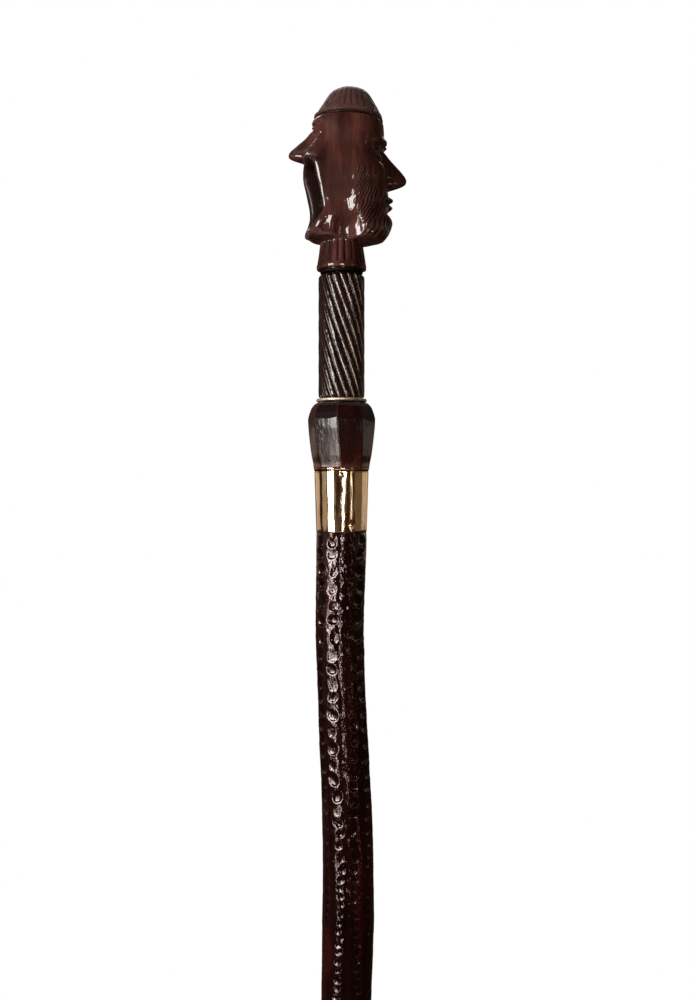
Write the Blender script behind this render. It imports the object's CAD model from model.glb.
"""Looks of the nutcracker walking cane: carved head, twisted grip, knop, brass and lacquered stick.

Metres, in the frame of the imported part: +Z up the cane, the photographed side faces -Y.
Every new piece takes its place from the box of the part that it stands for.
"""

import math

import bpy
import numpy as np
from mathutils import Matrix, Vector


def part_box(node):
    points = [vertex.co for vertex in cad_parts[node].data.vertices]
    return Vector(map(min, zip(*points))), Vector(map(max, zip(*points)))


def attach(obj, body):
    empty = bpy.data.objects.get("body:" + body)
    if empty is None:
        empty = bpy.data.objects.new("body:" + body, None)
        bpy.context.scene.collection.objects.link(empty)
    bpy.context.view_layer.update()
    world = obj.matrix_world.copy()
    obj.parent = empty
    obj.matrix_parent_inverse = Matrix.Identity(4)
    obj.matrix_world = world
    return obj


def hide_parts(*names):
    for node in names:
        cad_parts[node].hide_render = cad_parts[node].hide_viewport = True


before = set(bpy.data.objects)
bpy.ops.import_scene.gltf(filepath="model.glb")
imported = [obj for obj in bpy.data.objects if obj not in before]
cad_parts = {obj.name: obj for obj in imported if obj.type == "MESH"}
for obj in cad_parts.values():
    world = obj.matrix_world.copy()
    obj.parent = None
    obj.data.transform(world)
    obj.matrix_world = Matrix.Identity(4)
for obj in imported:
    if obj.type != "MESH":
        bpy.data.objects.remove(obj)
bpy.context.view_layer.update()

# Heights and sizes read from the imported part
FERRULE_FOOT, FERRULE_TOP = (corner.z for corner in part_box("ferrule"))
FERRULE_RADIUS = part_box("ferrule")[1].x
COLLAR_FOOT, COLLAR_TOP = (corner.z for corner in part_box("collar"))
COLLAR_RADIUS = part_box("collar")[1].x
KNOP_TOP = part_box("knop")[1].z
RING_FOOT, RING_TOP = (corner.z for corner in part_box("spacer_ring"))
RING_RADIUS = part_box("spacer_ring")[1].x
GRIP_FOOT, GRIP_TOP = (corner.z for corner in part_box("twist_grip"))
NECK_FOOT, CROWN = (corner.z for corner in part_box("carved_head"))
SCREW_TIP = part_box("press_screw")[1].z
BUSH_FOOT, BUSH_TOP = (corner.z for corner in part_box("thread_bush"))
GAP = NECK_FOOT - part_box("seat_washer")[1].z     # between the part's pieces

# Camera: level, at the photograph's distance, its frame 490 mm high at the cane
PHOTO_SPAN = 0.490
CAMERA_PLACE = (0.0022, -0.58, 0.697)    # the cane stands 2.2 mm left of the picture's middle

# Stick
STICK_TOP_RADIUS = 0.0122
STICK_FOOT_RADIUS = 0.0097
STICK_SWELLS = [(0.053, 0.01176), (0.110, 0.0120), (0.190, 0.0126), (0.240, 0.0121)]
STICK_BENDS = [(0.053, -0.0008), (0.170, 0.0033), (0.360, -0.0012), (0.530, 0.0010)]
STICK_WAVES = [(0.00026, 0.50, 0.0130, 3), (0.00013, 0.60, 0.0040, 4), (0.00007, 0.12, 0.0018, 8)]
STICK_COLUMNS = 144
STICK_ROW = 0.00050              # height of a row of the mesh in the photographed upper part
STICK_LOW_ROW = 0.00200
STICK_LOW_PART = 0.240           # the low part begins this far under the collar
GOUGE_TURNS = (-140, -102, -57, -22, 19, 55, 102, 140, 180)    # of their upright rows, in degrees
GOUGE_PITCH = 0.0074
GOUGE_HALF_HEIGHT = 0.0032
GOUGE_HALF_WIDTH = 0.0027
GOUGE_DEPTH = 0.00090
PLAIN_TURN = 19                  # the row right of the picture's middle is faint under the collar
PLAIN_RANGE = (0.070, 0.100)
GOUGE_SHRINK = 0.45              # lower down they are smaller by this share
GOUGE_SHRINK_RANGE = (0.110, 0.190)

# Collar, knop, ring and grip
COLLAR_FOOT_RADIUS = 0.01235
COLLAR_WALL = 0.0012
COLLAR_BORE = COLLAR_FOOT_RADIUS - COLLAR_WALL
COLLAR_RIM = 0.0007
PIN_INSET = 0.0034               # of the collar's two nails, from its top and from its foot
PIN_LOWER_TURN = math.radians(24.0)
PIN_HEAD_RADIUS = 0.0011
KNOP_SIDES = 8
KNOP_BULGE = 0.22
KNOP_LEAN = math.radians(-7.0)   # the facets' upright edges lean by this much at the shoulder
KNOP_LEAN_HEIGHT = 0.0180
KNOP_BODY = [(0.0, 0.01380), (0.0056, 0.01477), (0.0115, 0.01560), (0.0174, 0.01630),
             (0.0203, 0.01654), (0.0240, 0.01670), (0.0316, 0.0168)]
KNOP_SHOULDER = [(0.0180, 0.01800), (0.0227, 0.01697), (0.0247, 0.01640), (0.0262, 0.01602),
                 (0.0291, 0.01490), (0.0309, 0.01335), (0.0316, 0.01215)]
GRIP_RADIUS = 0.0113
GRIP_STRANDS = 18
GRIP_GROOVE = 0.0012
GRIP_TWIST_PER_M = math.radians(-1962.0)
GRIP_TOP_DROP = 0.0009           # leaves a dark seam under the head

# Press screw
SCREW_PITCH = 0.0040
SCREW_ROOT_RADIUS = 0.0049
SCREW_CREST_RADIUS = 0.0062
SCREW_CREST_HALF = 0.0005
SCREW_FLANK = 0.0008
SCREW_FOOT = NECK_FOOT + GAP
TANG_RADIUS = 0.0045
PAD_HOLE_RADIUS = 0.0020 + GAP
PAD_DISH_RADIUS = 0.0045
PAD_DISH_DEPTH = 0.0020

# Carved head: heights above the neck's foot and above the beard's lower end
HEAD_MIDDLE = 0.003
HEAD_FOOT = NECK_FOOT + 0.0133
BRIM = NECK_FOOT + 0.0747
HEAD_TALL = BRIM - HEAD_FOOT
HEAD_HALF_WIDTH = 0.0195
LIP_RADIUS = 0.0169              # of the cap's rolled lip, to its outside
LIP_BEAD = 0.00085
LIP_RISE = 0.0003                # of the lip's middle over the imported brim
UNDERCUT_DROP = 0.0012
UNDERCUT_RADIUS = 0.0167
UNDERCUT_SIZE = 0.0010
CAP_SIDE_RADIUS = 0.0166         # of the cap's straight side at the brim
CAP_SIDE_LEAN = 0.585            # the side comes in by this much of its rise
CAP_CROWN_CURVE = 0.019
CAP_CROWN_DROP = 0.0014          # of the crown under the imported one
CAP_SHIFT = 0.0004               # the cap sits this far ahead of the head's middle
CAP_LEAN = 0.04                  # and leans ahead by this share of its rise
CAP_DIP = 0.0024                 # the brim comes lower over the closed-mouth face
CAP_REEDS = 26
CAP_GROOVE_DEPTH = 0.00028
CAP_GROOVE_ENDS = (0.0068, 0.0078)
CAP_GROOVE_FOOT = (0.0016, 0.0030)
NECK_PROFILE = [(0.0, 0.0118), (0.0003, 0.0121), (0.0014, 0.01225), (0.0026, 0.0120), (0.0150, 0.0102),
                (0.0210, 0.0099)]
NECK_REEDS = 18
NECK_GROOVE_DEPTH = 0.00065
NECK_GROOVE_FOOT = (0.0022, 0.0036)
HEAD_WIDTHS = [(0.0, 0.0105), (0.0020, 0.0138), (0.0070, 0.0152), (0.0150, 0.0151), (0.0240, 0.0162),
               (0.0330, 0.0171), (0.0430, 0.0168), (0.0520, 0.0172), (0.0580, 0.0167), (0.0614, 0.0155)]
FRONT_DEPTHS = [(0.0, 0.0140), (0.0015, 0.0178), (0.0060, 0.0205), (0.0110, 0.0202), (0.0150, 0.0188),
                (0.0240, 0.0190), (0.0330, 0.0180), (0.0430, 0.0172), (0.0520, 0.0178),
                (0.0580, 0.0173), (0.0614, 0.0160)]
BACK_DEPTHS = [(0.0, 0.0140), (0.0015, 0.0180), (0.0050, 0.0204), (0.0100, 0.0208), (0.0174, 0.0210),
               (0.0254, 0.0216), (0.0334, 0.0220), (0.0390, 0.0208), (0.0440, 0.0184),
               (0.0500, 0.0170), (0.0570, 0.0167), (0.0614, 0.0154)]
SQUARENESS = 2.5                 # of the head's level sections: 2 is an ellipse, more is squarer
CHEEK_SQUARENESS = 5.0           # beside the nut cavity
SQUARE_CHEEKS = [(0.0, 0.0), (0.0080, 1.0), (0.0340, 1.0), (0.0460, 0.0)]    # share of it by height
NOSE_REACH = 0.0288
NOSE_RIDGE = [(0.0, 0.0), (0.06, 0.52), (0.13, 0.87), (0.22, 1.0), (0.31, 0.97), (0.42, 0.84),
              (0.60, 0.59), (0.85, 0.22), (1.0, 0.0)]
NOSE_WIDTHS = [(0.0, 0.0038), (0.25, 0.0037), (0.50, 0.0028), (0.80, 0.0023), (1.0, 0.0032)]
NOSE_BLUNTNESS = 3.0             # of the nose's level sections: 2 is a bell, more is flatter
EYE_SIDE = 0.0074
MOUTH_LINE = 0.0190
# Soft swellings and hollows of the faces: side, height, half width, half height, how far it stands out
FRONT_SWELLINGS = [(0.0070, 0.0480, 0.0070, 0.0024, 0.0010), (0.0100, 0.0330, 0.0045, 0.0045, 0.0018),
                   (0.0041, 0.0286, 0.0017, 0.0021, 0.0024), (0.0, 0.0190, 0.0078, 0.0062, 0.0010),
                   (0.0, 0.0207, 0.0054, 0.0012, 0.0022), (0.0, 0.0171, 0.0046, 0.0014, 0.0023),
                   (0.0016, 0.0214, 0.0018, 0.0009, 0.00045), (0.0, 0.0224, 0.0010, 0.0008, -0.00050),
                   (0.0066, 0.0189, 0.0009, 0.0009, -0.0009), (0.0, 0.0239, 0.0009, 0.0016, -0.00050),
                   (0.0016, 0.0238, 0.0007, 0.0016, 0.00030), (0.0, 0.0141, 0.0050, 0.0011, -0.0009),
                   (0.0, 0.0100, 0.0062, 0.0036, 0.0014)]
BACK_SWELLINGS = [(0.0105, 0.0440, 0.0042, 0.0042, 0.0020), (0.0042, 0.0424, 0.0017, 0.0019, 0.0023),
                  (0.0, 0.0060, 0.0075, 0.0028, 0.0012)]
# Temples and cheekbones on the head's sides: ahead of the middle, height, then the same
SIDE_SWELLINGS = [(0.0090, 0.0460, 0.0070, 0.0080, -0.0005), (0.0095, 0.0345, 0.0060, 0.0060, 0.0003),
                  (-0.0100, 0.0425, 0.0050, 0.0050, 0.0004)]
CAVITY_FLOOR = NECK_FOOT + 0.0217
CAVITY_HEIGHT = 0.0300
CAVITY_WIDTH = 0.0250
CAVITY_BACK = 0.0128
CAVITY_YAW = math.radians(12.0)
CAVITY_ROUNDING = 0.0055
CHEEK_YAW = math.radians(20.0)
CHEEK_EDGE = [(0.0087, -0.0290), (0.0144, -0.0190), (0.0215, -0.0136), (0.0277, -0.0109), (0.0349, -0.0113),
              (0.0440, -0.0138), (0.0508, -0.0178), (0.0532, -0.0230), (0.0555, -0.0330)]
NEAR_CHEEK = [(0.0087, 0.0), (0.0194, 0.0024), (0.0290, 0.0040), (0.0420, 0.0040), (0.0500, 0.0022),
              (0.0560, 0.0)]     # how much farther the cheek on the camera's side reaches
# Hollows between the two jaws, from the neck's foot
HOLLOWS = [(0.0036, -0.0184, 0.0107), (0.0036, 0.0200, 0.0107)]
HOLLOW_REACH = (0.0098, 0.0076, 0.0200)
NOSTRIL_REACH = (0.0021, 0.0010, 0.0014)
BEARD_PITCH = 0.00112
BEARD_DEPTH = 0.00042
THROAT_RADIUS = 0.0066
BUSH_SEAT_RADIUS = 0.0082
FLANGE_SEAT_RADIUS = 0.0097
FLANGE_SEAT_RISE = 0.0018
BUSH_PIN_RISE = 0.0085
BUSH_PIN_HOLE = 0.00115
HEAD_STEP = 0.00027
HEAD_TRIANGLES = 198_000


# Curves

def smooth_through(knots, at):
    """A smooth curve through (place, value) knots, level at both ends, at an array of places."""
    places, values = np.array(knots, float).T
    slopes = np.zeros(len(knots))
    slopes[1:-1] = (values[2:] - values[:-2]) / (places[2:] - places[:-2])
    at = np.clip(np.asarray(at, float), places[0], places[-1])
    right = np.clip(np.searchsorted(places, at), 1, len(knots) - 1)
    left = right - 1
    span = places[right] - places[left]
    share = (at - places[left]) / span
    rise = (3 - 2 * share) * share * share
    leave = share * (1 - share) ** 2
    arrive = share * share * (share - 1)
    return (values[left] + (values[right] - values[left]) * rise
            + span * (leave * slopes[left] + arrive * slopes[right]))


def ramp(value, low, high):
    """Rises smoothly from 0 at low to 1 at high."""
    share = np.clip((value - low) / (high - low), 0.0, 1.0)
    return share * share * (3 - 2 * share)


def bell(value, width):
    """1 at a value of 0, and next to nothing at two widths."""
    return np.exp(-(value / width) ** 2)


def smooth_min(a, b, radius):
    near = np.maximum(radius - np.abs(a - b), 0.0) / radius
    return np.minimum(a, b) - near * near * radius / 4


def smooth_max(a, b, radius):
    return -smooth_min(-a, -b, radius)


def hand_wobble(x, y, z, size, seed):
    """A gentle irregularity from -1 to 1, like a surface worked by hand; size is its wavelength."""
    draw = np.random.default_rng(seed)
    total = 0.0
    waves = 7
    for _ in range(waves):
        direction = draw.normal(size=3)
        direction *= 2 * math.pi / size / np.linalg.norm(direction) * draw.uniform(0.6, 1.5)
        total = total + np.sin(x * direction[0] + y * direction[1] + z * direction[2] + draw.uniform(0, 6.3))
    return total / waves


# Meshes

def mesh_from(name, points, faces, ends=()):
    """A mesh object from an array of points, an array of faces of one size and a few other faces."""
    mesh = bpy.data.meshes.new(name)
    mesh.from_pydata(points, [], [*faces.tolist(), *ends])
    mesh.validate()
    mesh.shade_smooth()
    obj = bpy.data.objects.new(name, mesh)
    bpy.context.scene.collection.objects.link(obj)
    return obj


def tube(name, rings, bored=False):
    """A skin over rings of points, with a flat face at each end, or if bored closed on itself."""
    rows, columns = rings.shape[:2]
    row, column = np.meshgrid(np.arange(rows if bored else rows - 1), np.arange(columns), indexing="ij")
    above, beside = (row + 1) % rows, (column + 1) % columns
    quads = np.stack([row * columns + column, row * columns + beside,
                      above * columns + beside, above * columns + column], axis=-1)
    first, last = range(columns)[::-1], range((rows - 1) * columns, rows * columns)
    return mesh_from(name, rings.reshape(-1, 3), quads.reshape(-1, 4), [] if bored else [first, last])


def rings_of(radii, heights, angles, centre=0.0):
    """Rings from radii by row and column, heights by row and angles by column."""
    centre = np.broadcast_to(centre, len(heights))[:, None]
    across, depth = centre + radii * np.cos(angles), radii * np.sin(angles)
    return np.stack(np.broadcast_arrays(across, depth, np.asarray(heights)[:, None]), axis=-1)


def around(count):
    return np.arange(count) * 2 * math.pi / count


def arc(centre, radius, start, end, steps, squash=1.0):
    """(radius, height) points on an arc between two angles."""
    return [(centre[0] + radius * math.cos(a), centre[1] + squash * radius * math.sin(a))
            for a in np.linspace(start, end, steps)]


def rounded(profile, radius, steps=4):
    """A closed (radius, height) outline with its corners rounded."""
    points = np.array(profile, float)
    made = []
    for before, corner, after in zip(np.roll(points, 1, axis=0), points, np.roll(points, -1, axis=0)):
        lengths = [np.linalg.norm(other - corner) for other in (before, after)]
        reach = min(radius, lengths[0] * 0.45, lengths[1] * 0.45)
        start = corner + (before - corner) / lengths[0] * reach
        end = corner + (after - corner) / lengths[1] * reach
        for t in np.linspace(0, 1, steps + 1):
            made.append((1 - t) ** 2 * start + 2 * t * (1 - t) * corner + t * t * end)
    return made


def turned(name, profile, sides, bored=False):
    """A turned piece from (radius, height) points, bottom first, or if bored from its closed outline."""
    radii, heights = np.array(profile, float).T
    return tube(name, rings_of(radii[:, None], heights, around(sides)), bored)


def numbers(items, name, size, kind=float):
    """A property of all of a mesh's points or edges, a row for each."""
    made = np.empty(len(items) * size, kind)
    items.foreach_get(name, made)
    return made.reshape(-1, size)


def positions(obj):
    return numbers(obj.data.vertices, "co", 3)


def number_points(obj, name, values):
    """Keeps one number for each point, for a material to read."""
    mesh = obj.data
    kept = mesh.attributes.get(name) or mesh.attributes.new(name, "FLOAT", "POINT")
    kept.data.foreach_set("value", np.asarray(values, np.float32))


def read_numbers(obj, name):
    return numbers(obj.data.attributes[name].data, "value", 1)[:, 0]


def mark_relief(obj, rounds, reach):
    """Stores where the surface stands out (wear) and lies deep (hollow), from 0 to 1."""
    mesh = obj.data
    count = len(mesh.vertices)
    points = positions(obj)
    ends = numbers(mesh.edges, "vertices", 2, np.int32)
    a, b = ends.T
    degree = np.maximum(np.bincount(ends.ravel(), minlength=count), 1)[:, None]
    even = points.copy()
    for _ in range(rounds):
        total = np.stack([np.bincount(a, even[b, k], count) + np.bincount(b, even[a, k], count)
                          for k in range(3)], axis=-1)
        even = (even + total / degree) / 2
    stands = ((points - even) * numbers(mesh.vertices, "normal", 3)).sum(axis=1) / reach
    number_points(obj, "wear", np.clip(stands, 0, 1))
    number_points(obj, "hollow", np.clip(-stands, 0, 1))


def applied(obj):
    """Replaces an object's mesh by what its modifiers make of it."""
    graph = bpy.context.evaluated_depsgraph_get()
    made = bpy.data.meshes.new_from_object(obj.evaluated_get(graph))
    obj.modifiers.clear()
    old, obj.data = obj.data, made
    bpy.data.meshes.remove(old)
    obj.data.shade_smooth()


def thinned(obj, most):
    """Takes triangles out of the smoothest places until at most that many are left."""
    obj.data.calc_loop_triangles()
    have = len(obj.data.loop_triangles)
    if have > most:
        obj.modifiers.new("thin", "DECIMATE").ratio = most / have
        applied(obj)


# Surface of a solid given as a field that is negative inside

EDGE_PAIRS = [(0, 1), (2, 3), (4, 5), (6, 7), (0, 2), (1, 3), (4, 6), (5, 7), (0, 4), (1, 5), (2, 6), (3, 7)]
COARSE = 4                       # fine steps in one coarse step
BAND = 0.0026                    # fine values are worked out within this of the coarse surface
CHUNK = 600_000                  # points worked out at once


def filled_grid(field, low, counts, step):
    """Field values on a fine grid: exact near the surface, interpolated elsewhere."""
    axes = [low[k] + step * np.arange(counts[k]) for k in range(3)]
    mesh = np.meshgrid(*[axis[::COARSE] for axis in axes], indexing="ij")
    values = field(*[part.ravel() for part in mesh]).reshape(mesh[0].shape)
    for k in range(3):
        at = np.arange(counts[k]) / COARSE
        base = np.minimum(at.astype(int), values.shape[k] - 2)
        share = (at - base).astype(np.float32).reshape([-1 if axis == k else 1 for axis in range(3)])
        values = (np.take(values, base, axis=k) * (1 - share)
                  + np.take(values, base + 1, axis=k) * share).astype(np.float32)
    near = np.nonzero(np.abs(values) < BAND)
    for start in range(0, len(near[0]), CHUNK):
        part = tuple(index[start:start + CHUNK] for index in near)
        values[part] = field(*[axes[k][part[k]] for k in range(3)])
    return values


def net_surface(name, field, low, high, step, settle=3):
    """The field's zero surface as quads: one point in each crossed cell, then drawn onto the surface."""
    counts = [int(math.ceil((high[k] - low[k]) / step / COARSE)) * COARSE + 1 for k in range(3)]
    values = filled_grid(field, low, counts, step)
    inside = values < 0

    def shifted(grid, offset):
        return grid[tuple(slice(at, at + count - 1) for at, count in zip(offset, counts))]

    corners = list(np.ndindex(2, 2, 2))
    total = sum(shifted(inside, corner).astype(np.int8) for corner in corners)
    cells = np.nonzero((total > 0) & (total < 8))
    corner_values = [shifted(values, corner)[cells] for corner in corners]
    offsets = np.array(corners, float)
    place = np.zeros((len(cells[0]), 3))
    crossings = np.zeros(len(cells[0]))
    for a, b in EDGE_PAIRS:
        va, vb = corner_values[a], corner_values[b]
        crossed = (va < 0) != (vb < 0)
        share = np.where(crossed, va / np.where(crossed, va - vb, 1.0), 0.0)[:, None]
        place += crossed[:, None] * (offsets[a] + (offsets[b] - offsets[a]) * share)
        crossings += crossed
    points = (np.stack(cells, axis=-1) + place / crossings[:, None]) * step + np.array(low)
    number = np.full(total.shape, -1, np.int32)
    number[cells] = np.arange(len(points))
    start = shifted(inside, (0, 0, 0))
    quads = []
    for axis, neighbour in enumerate(np.eye(3, dtype=int)):
        u, v = (axis + 1) % 3, (axis + 2) % 3
        crossed = np.array(np.nonzero(start != shifted(inside, neighbour)))
        crossed = crossed[:, (crossed[u] > 0) & (crossed[v] > 0)]
        ring = []
        for du, dv in ((0, 0), (1, 0), (1, 1), (0, 1)):
            index = crossed.copy()
            index[u] -= du
            index[v] -= dv
            ring.append(number[tuple(index)])
        ring = np.stack(ring, axis=-1)
        quads.append(np.where(start[tuple(crossed)][:, None], ring, ring[:, ::-1]))
    for _ in range(settle):
        points = drawn_onto(field, points, step)
    return mesh_from(name, points, np.concatenate(quads))


def drawn_onto(field, points, step):
    """Moves points along the field's slope onto its zero surface, at most half a step."""
    h = step * 0.3
    slope = np.stack([(field(*(points + offset).T) - field(*(points - offset).T)) / (2 * h)
                      for offset in np.eye(3) * h], axis=-1)
    steep = np.maximum((slope * slope).sum(axis=1), 0.04)[:, None]
    move = -field(*points.T)[:, None] * slope / steep
    length = np.linalg.norm(move, axis=1)[:, None]
    return points + move * np.minimum(1.0, step * 0.5 / np.maximum(length, 1e-12))


# Faces: how far the carving stands out from the plain block, by side offset and height

def swellings(side, height, rows):
    return sum(amount * bell(side - at_side, wide) * bell(height - at_height, tall)
               for at_side, at_height, wide, tall, amount in rows)


def nose_relief(side, height, foot, root, depths, wing_tall, wing_depth):
    """A nose from its foot to its root, with a groove round the wings of its nostrils."""
    up = (height - foot) / (root - foot)
    reach = NOSE_REACH - float(smooth_through(depths, foot + 0.004))
    ridge = np.where((up > 0) & (up < 1), smooth_through(NOSE_RIDGE, up), 0.0)
    nose = reach * ridge * np.exp(-np.abs(side / smooth_through(NOSE_WIDTHS, up)) ** NOSE_BLUNTNESS)
    wing = np.hypot((side - 0.0041) / 0.0024, (height - foot - 0.0030) / wing_tall) - 1.0
    return nose - wing_depth * bell(wing, 0.16) * ramp(side, 0.0030, 0.0048)


def eye_relief(side, height, at_height, brow):
    """A lidded eye in its socket, with a crease above the lid and a brow."""
    across = side - EYE_SIDE
    along = height - at_height + 0.06 * across
    relief = -0.0036 * bell(across, 0.0050) * bell(height - at_height - 0.0002, 0.0034)
    ball = 0.0047
    sag = np.sqrt(np.maximum(ball ** 2 - across ** 2 * 0.80 - along ** 2 * 1.25, 0.0))
    relief += np.maximum(sag - (ball - 0.0029), 0.0)
    out = np.abs(across / 0.0043)
    bow = np.maximum(1 - out * out, 0.0) ** 0.75
    upper, lower = 0.00185 * bow, -0.00125 * bow
    inside = np.minimum(upper - along, along - lower)
    relief -= 0.00062 * ramp(inside, 0.0, 0.00035)
    relief += 0.00022 * bell(inside + 0.00030, 0.00042) * (out < 1.1)
    relief -= 0.00042 * bell(along - upper - 0.00150, 0.00034) * ramp(1.25 - out, 0.0, 0.4)
    relief -= 0.00020 * bell(along - lower + 0.00145, 0.00040) * ramp(1.0 - out, 0.0, 0.5)
    over_arch = height - brow - 0.0011 * np.cos((side - 0.0078) / 0.0062 * 1.3)
    hairs = np.sin((side + over_arch * 0.9) * 2 * math.pi / 0.00115)
    ends = ramp(side, 0.0012, 0.0032) * ramp(-side, -0.0142, -0.0120)
    return relief + (0.00125 - 0.00016 * (0.5 + 0.5 * hairs)) * bell(over_arch, 0.0013) * ends


def front_relief(side, height):
    """The +X face: calm and closed-mouthed, on thirds from chin to brow."""
    relief = nose_relief(side, height, 0.0258, 0.0460, FRONT_DEPTHS, 0.0030, 0.00045)
    relief += eye_relief(side, height, 0.0414, 0.0466) + swellings(side, height, FRONT_SWELLINGS)
    fold = side - (0.0060 + (0.0290 - height) * 0.32)
    folds = 0.00035 * bell(fold - 0.0020, 0.0016) - 0.00040 * bell(fold, 0.0010)
    relief += folds * ramp(height, 0.0170, 0.0200) * ramp(-height, -0.0300, -0.0280)
    seam = MOUTH_LINE + 0.00028 * np.cos(side / 0.0019) * ramp(-side, -0.0050, -0.0020)
    return relief - 0.00125 * bell(height - seam, 0.00042) * ramp(-side, -0.0070, -0.0056)


def back_relief(side, height):
    """The -X face above its open mouth."""
    relief = nose_relief(side, height, 0.0396, 0.0560, BACK_DEPTHS, 0.0028, 0.00040)
    return relief + eye_relief(side, height, 0.0520, 0.0568) + swellings(side, height, BACK_SWELLINGS)


RELIEF_STEP = 0.00012
RELIEF_SIZES = [int(reach / RELIEF_STEP) + 2 for reach in (HEAD_HALF_WIDTH, HEAD_TALL)]
RELIEF_GRID = np.meshgrid(*[np.arange(size) * RELIEF_STEP for size in RELIEF_SIZES], indexing="ij")
FRONT_TABLE = front_relief(*RELIEF_GRID)
BACK_TABLE = back_relief(*RELIEF_GRID)


def relief_at(table, side, height):
    """Looks up a relief that was worked out once on a fine side-by-height grid."""
    u = np.clip(side / RELIEF_STEP, 0, RELIEF_SIZES[0] - 1.001)
    v = np.clip(height / RELIEF_STEP, 0, RELIEF_SIZES[1] - 1.001)
    i, j = u.astype(int), v.astype(int)
    du, dv = u - i, v - j
    low = table[i, j] * (1 - dv) + table[i, j + 1] * dv
    high = table[i + 1, j] * (1 - dv) + table[i + 1, j + 1] * dv
    return low * (1 - du) + high * du


# Carved head as a field

def reed(turn, count):
    """Depth share of the narrow grooves between upright reeds of slightly unlike widths."""
    turn = turn + 0.036 * np.sin(5 * turn + 1.3) + 0.022 * np.sin(11 * turn + 0.4)
    across = (turn * count / (2 * math.pi)) % 1.0 * 2 - 1
    return bell(1 - np.abs(across), 0.30) * (0.75 + 0.25 * np.sin(7 * turn)) + 0.30 * across ** 2


def beard_strands(ahead, side, height):
    """Depth share of the fine wavy lines that fan over the front face's jaw."""
    arc_side = np.arctan2(side, np.maximum(ahead, 1e-6)) * 0.0170
    line = arc_side - 0.35 * (0.0330 - height) * arc_side / 0.018
    wave = 0.00042 * np.sin(height / 0.0030 + line / 0.0040)
    wave = wave + 0.00014 * np.sin(height / 0.0011 + line / 0.002)
    groove = bell(((line + wave) / BEARD_PITCH) % 1.0 - 0.5, 0.21)
    tuft = 0.0014 * np.sin(line / BEARD_PITCH * 2.4)
    upper = 0.0125 + 0.0215 * ramp(arc_side, 0.0070, 0.0160) + tuft
    cover = ramp(upper - height, 0.0, 0.0030) * ramp(0.0240 + tuft - arc_side, 0.0, 0.0050)
    return groove * cover * ramp(height, 0.0004, 0.0022) * (ahead > 0)


LOOKUP_STEP = 0.0001
LOOKUP_HEIGHTS = np.arange(0, HEAD_TALL + LOOKUP_STEP, LOOKUP_STEP)
WIDTHS, FRONTS, BACKS, CHEEKS = (smooth_through(knots, LOOKUP_HEIGHTS)
                                 for knots in (HEAD_WIDTHS, FRONT_DEPTHS, BACK_DEPTHS, SQUARE_CHEEKS))


def block_field(x, y, z):
    """The head's block with both faces, below the cap."""
    height, ahead, side = z - HEAD_FOOT, x - HEAD_MIDDLE, np.abs(y)
    front = ahead >= 0
    width, before, behind, cheek = (np.interp(height, LOOKUP_HEIGHTS, values)
                                    for values in (WIDTHS, FRONTS, BACKS, CHEEKS))
    depth = np.where(front, before, behind)
    power = SQUARENESS + (CHEEK_SQUARENESS - SQUARENESS) * np.where(front, 0.0, cheek)
    beside = (side / width) ** power
    out = np.clip(1 - beside, 0, 1) ** (1 / power)
    push = np.where(front, relief_at(FRONT_TABLE, side, height), relief_at(BACK_TABLE, side, height))
    reach = np.maximum(np.abs(ahead) - push * np.minimum(1.0, 2 * out), 0.0)
    block = (((reach / depth) ** power + beside) ** (1 / power) - 1) * (depth + width) / 2
    block = block - swellings(ahead, height, SIDE_SWELLINGS) * ramp(side, 0.0080, 0.0130)
    block = smooth_max(block, -height, 0.0016)
    spread = np.hypot(ahead - CAP_SHIFT, y) - UNDERCUT_RADIUS
    block = smooth_max(block, UNDERCUT_SIZE - np.hypot(spread, brim_rise(x, z) + UNDERCUT_DROP), 0.0005)
    block = smooth_max(block, height - HEAD_TALL - LIP_RISE, 0.0006)
    return block + BEARD_DEPTH * beard_strands(ahead, side, height)


def ellipsoid(offsets, halves, scale):
    """About the distance to an ellipsoid, by offsets to its middle and half sizes; negative inside."""
    return (np.sqrt(sum((offset / half) ** 2 for offset, half in zip(offsets, halves))) - 1) * scale


def nostrils(x, y, z, toward, foot, depth):
    """Two small hollows under a nose; negative inside them."""
    offsets = ((x - HEAD_MIDDLE) * toward - depth, np.abs(y) - 0.0019, z - HEAD_FOOT - foot)
    return ellipsoid(offsets, NOSTRIL_REACH, 0.0011)


def hollow_field(x, y, z):
    """The hollows between the jaws, one on each side above the neck; negative inside them."""
    rise = z - NECK_FOOT
    return np.minimum(*[ellipsoid((x - ahead, y - side, rise - up), HOLLOW_REACH, HOLLOW_REACH[1])
                        for ahead, side, up in HOLLOWS])


def brim_rise(x, z):
    """Height over the cap's brim, which dips over the closed-mouth face."""
    ahead = np.maximum(x - HEAD_MIDDLE - CAP_SHIFT, 0)
    return z - BRIM + CAP_DIP * (ahead / LIP_RADIUS) ** 2


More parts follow.
